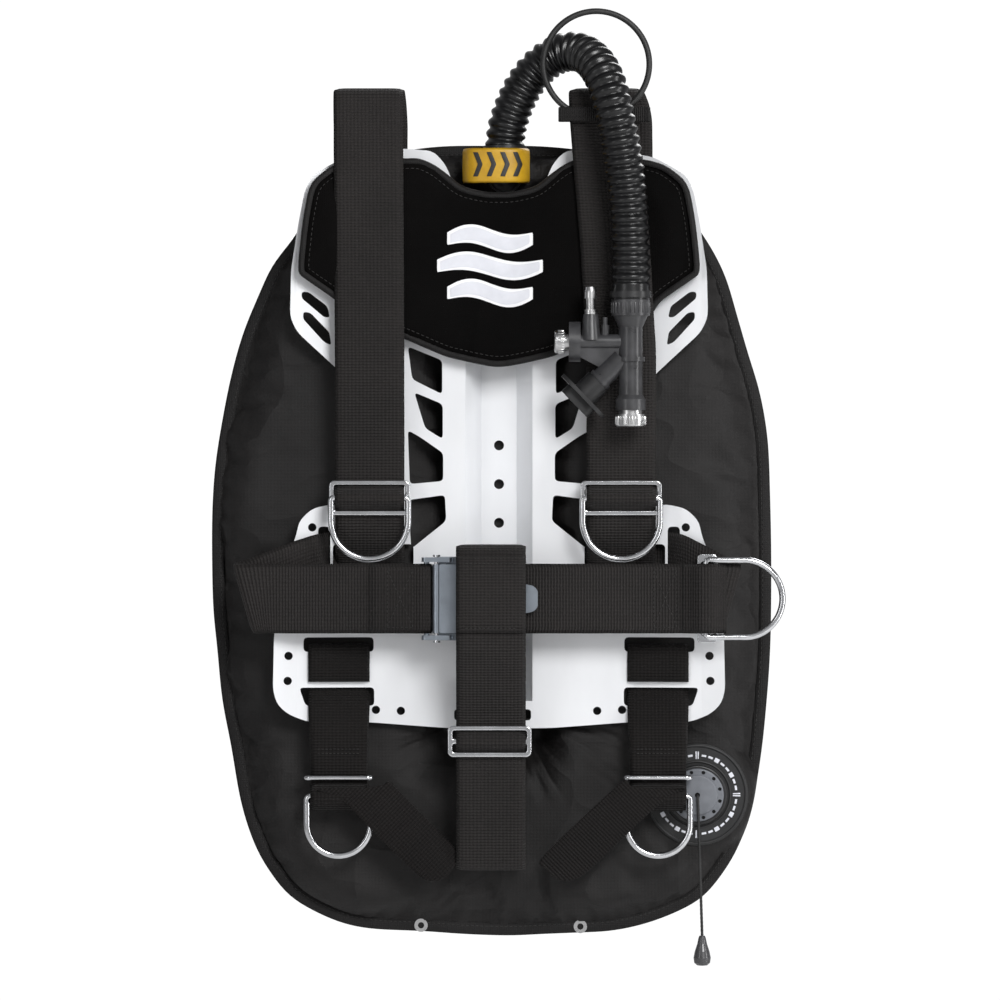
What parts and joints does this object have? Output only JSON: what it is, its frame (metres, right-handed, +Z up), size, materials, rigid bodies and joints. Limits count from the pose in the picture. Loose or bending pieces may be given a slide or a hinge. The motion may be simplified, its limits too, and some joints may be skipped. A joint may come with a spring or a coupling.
{
  "type": "buoyancy compensator vest",
  "caption": "Back-inflate diving buoyancy vest: pressed metal backplate, single-tank wing, webbing harness with waist buckle and D-rings, corrugated hose with power inflator.",
  "frame": {"origin": "centre of the two tank-bolt holes, on the front face of the plate's channel floor", "axes": "+Z up along the spine, towards the neck; +Y back towards the tank; -Y front, towards the diver's chest as seen from the front; +X right in the front view"},
  "size_m": [0.4021, 0.1063, 0.6704],
  "materials": {
    "plate_metal": "satin powder coat",
    "pad_fabric": "woven",
    "wing_fabric": "ballistic weave",
    "binding_tape": "ribbed tape",
    "bladder_film": "smooth",
    "eyelet_metal": "polished",
    "webbing": "ribbed webbing",
    "stainless": "polished stainless",
    "ring_rubber": "matt",
    "hose_rubber": "satin",
    "tie_plastic": "satin",
    "cover_yellow": "coated",
    "inflator_plastic": "satin",
    "nickel": "satin nickel",
    "spring_steel": "drawn",
    "valve_plastic": "satin",
    "valve_patch": "matt",
    "valve_cap": "satin",
    "cord_black": "braided",
    "knob_plastic": "satin"
  },
  "bodies": {
    "root": {"backplate": "plate_metal", "back_pad": "pad_fabric", "wing_front_panel": "wing_fabric", "wing_back_panel": "wing_fabric", "wing_binding_tape": "binding_tape", "wing_bladder": "bladder_film", "bolt_eyelets": "eyelet_metal", "edge_eyelets": "eyelet_metal", "harness_webbing_left": "webbing", "harness_webbing_right": "webbing", "crotch_strap": "webbing", "hip_strap_left": "webbing", "hip_strap_right": "webbing", "strap_keeper": "webbing", "chest_slide_left": "stainless", "chest_slide_right": "stainless", "waist_d_ring_keeper": "stainless", "buckle_frame": "stainless", "buckle_pin": "stainless", "crotch_slide": "stainless", "hip_strap_loop_left": "stainless", "hip_strap_loop_right": "stainless", "bungee_ring": "ring_rubber", "corrugated_hose": "hose_rubber", "mouthpiece": "hose_rubber", "hose_tie_upper": "tie_plastic", "hose_tie_lower": "tie_plastic", "hose_elbow": "tie_plastic", "elbow_cover": "cover_yellow", "inflator_body": "inflator_plastic", "quick_disconnect_nipple": "nickel", "inflate_spring": "spring_steel", "deflate_spring": "spring_steel", "dump_valve_spring": "spring_steel", "dump_valve_body": "valve_plastic", "dump_valve_nut": "valve_plastic", "dump_valve_flange": "valve_patch", "dump_valve_cap": "valve_cap"},
    "chest_ring_left": {"chest_d_ring_left": "stainless"},
    "chest_ring_right": {"chest_d_ring_right": "stainless"},
    "waist_ring": {"waist_d_ring": "stainless"},
    "buckle_lever_arm": {"buckle_lever": "stainless"},
    "hip_ring_left": {"hip_d_ring_left": "stainless"},
    "hip_ring_right": {"hip_d_ring_right": "stainless"},
    "inflate_button_slide": {"inflate_button": "nickel"},
    "deflate_button_slide": {"deflate_button": "inflator_plastic"},
    "dump_pull": {"pull_cord": "cord_black", "pull_knob": "knob_plastic"},
    "dump_poppet": {"dump_valve_poppet": "valve_plastic"}
  },
  "joints": [
    {"name": "chest_ring_left_swing", "type": "hinge", "parent": "root", "child": "chest_ring_left", "pos_m": [-0.0905, -0.0436, -0.037], "axis": [-1, 0, 0], "range_deg": [0, 165]},
    {"name": "chest_ring_right_swing", "type": "hinge", "parent": "root", "child": "chest_ring_right", "pos_m": [0.0855, -0.0436, -0.037], "axis": [-1, 0, 0], "range_deg": [0, 165]},
    {"name": "waist_ring_swing", "type": "hinge", "parent": "root", "child": "waist_ring", "pos_m": [0.1445, -0.0537, -0.1073], "axis": [0, 0, -1], "range_deg": [0, 150]},
    {"name": "buckle_lever_open", "type": "hinge", "parent": "root", "child": "buckle_lever_arm", "pos_m": [-0.0435, -0.0552, -0.1073], "axis": [0, 0, -1], "range_deg": [0, 10]},
    {"name": "hip_ring_left_swing", "type": "hinge", "parent": "root", "child": "hip_ring_left", "pos_m": [-0.1122, -0.0348, -0.246], "axis": [1, 0, 0], "range_deg": [0, 24]},
    {"name": "hip_ring_right_swing", "type": "hinge", "parent": "root", "child": "hip_ring_right", "pos_m": [0.1114, -0.0348, -0.246], "axis": [1, 0, 0], "range_deg": [0, 24]},
    {"name": "inflate_button_press", "type": "slide", "parent": "root", "child": "inflate_button_slide", "axis": [1, 0, 0], "range_m": [0, 0.0024], "stiffness_N_per_m": 700, "deforming": ["inflate_spring"]},
    {"name": "deflate_button_press", "type": "slide", "parent": "root", "child": "deflate_button_slide", "axis": [0, 0, 1], "range_m": [0, 0.002], "stiffness_N_per_m": 900, "deforming": ["deflate_spring"]},
    {"name": "dump_pull_cord", "type": "slide", "parent": "root", "child": "dump_pull", "axis": [0, 0, -1], "range_m": [0, 0.008], "stiffness_N_per_m": 300},
    {"name": "dump_poppet_lift", "type": "slide", "parent": "root", "child": "dump_poppet", "axis": [0, -1, 0], "range_m": [0, 0.004], "deforming": ["dump_valve_spring"]}
  ],
  "couplings": [
    {"joint": "dump_poppet_lift", "follows": "dump_pull_cord", "ratio": 0.5}
  ]
}
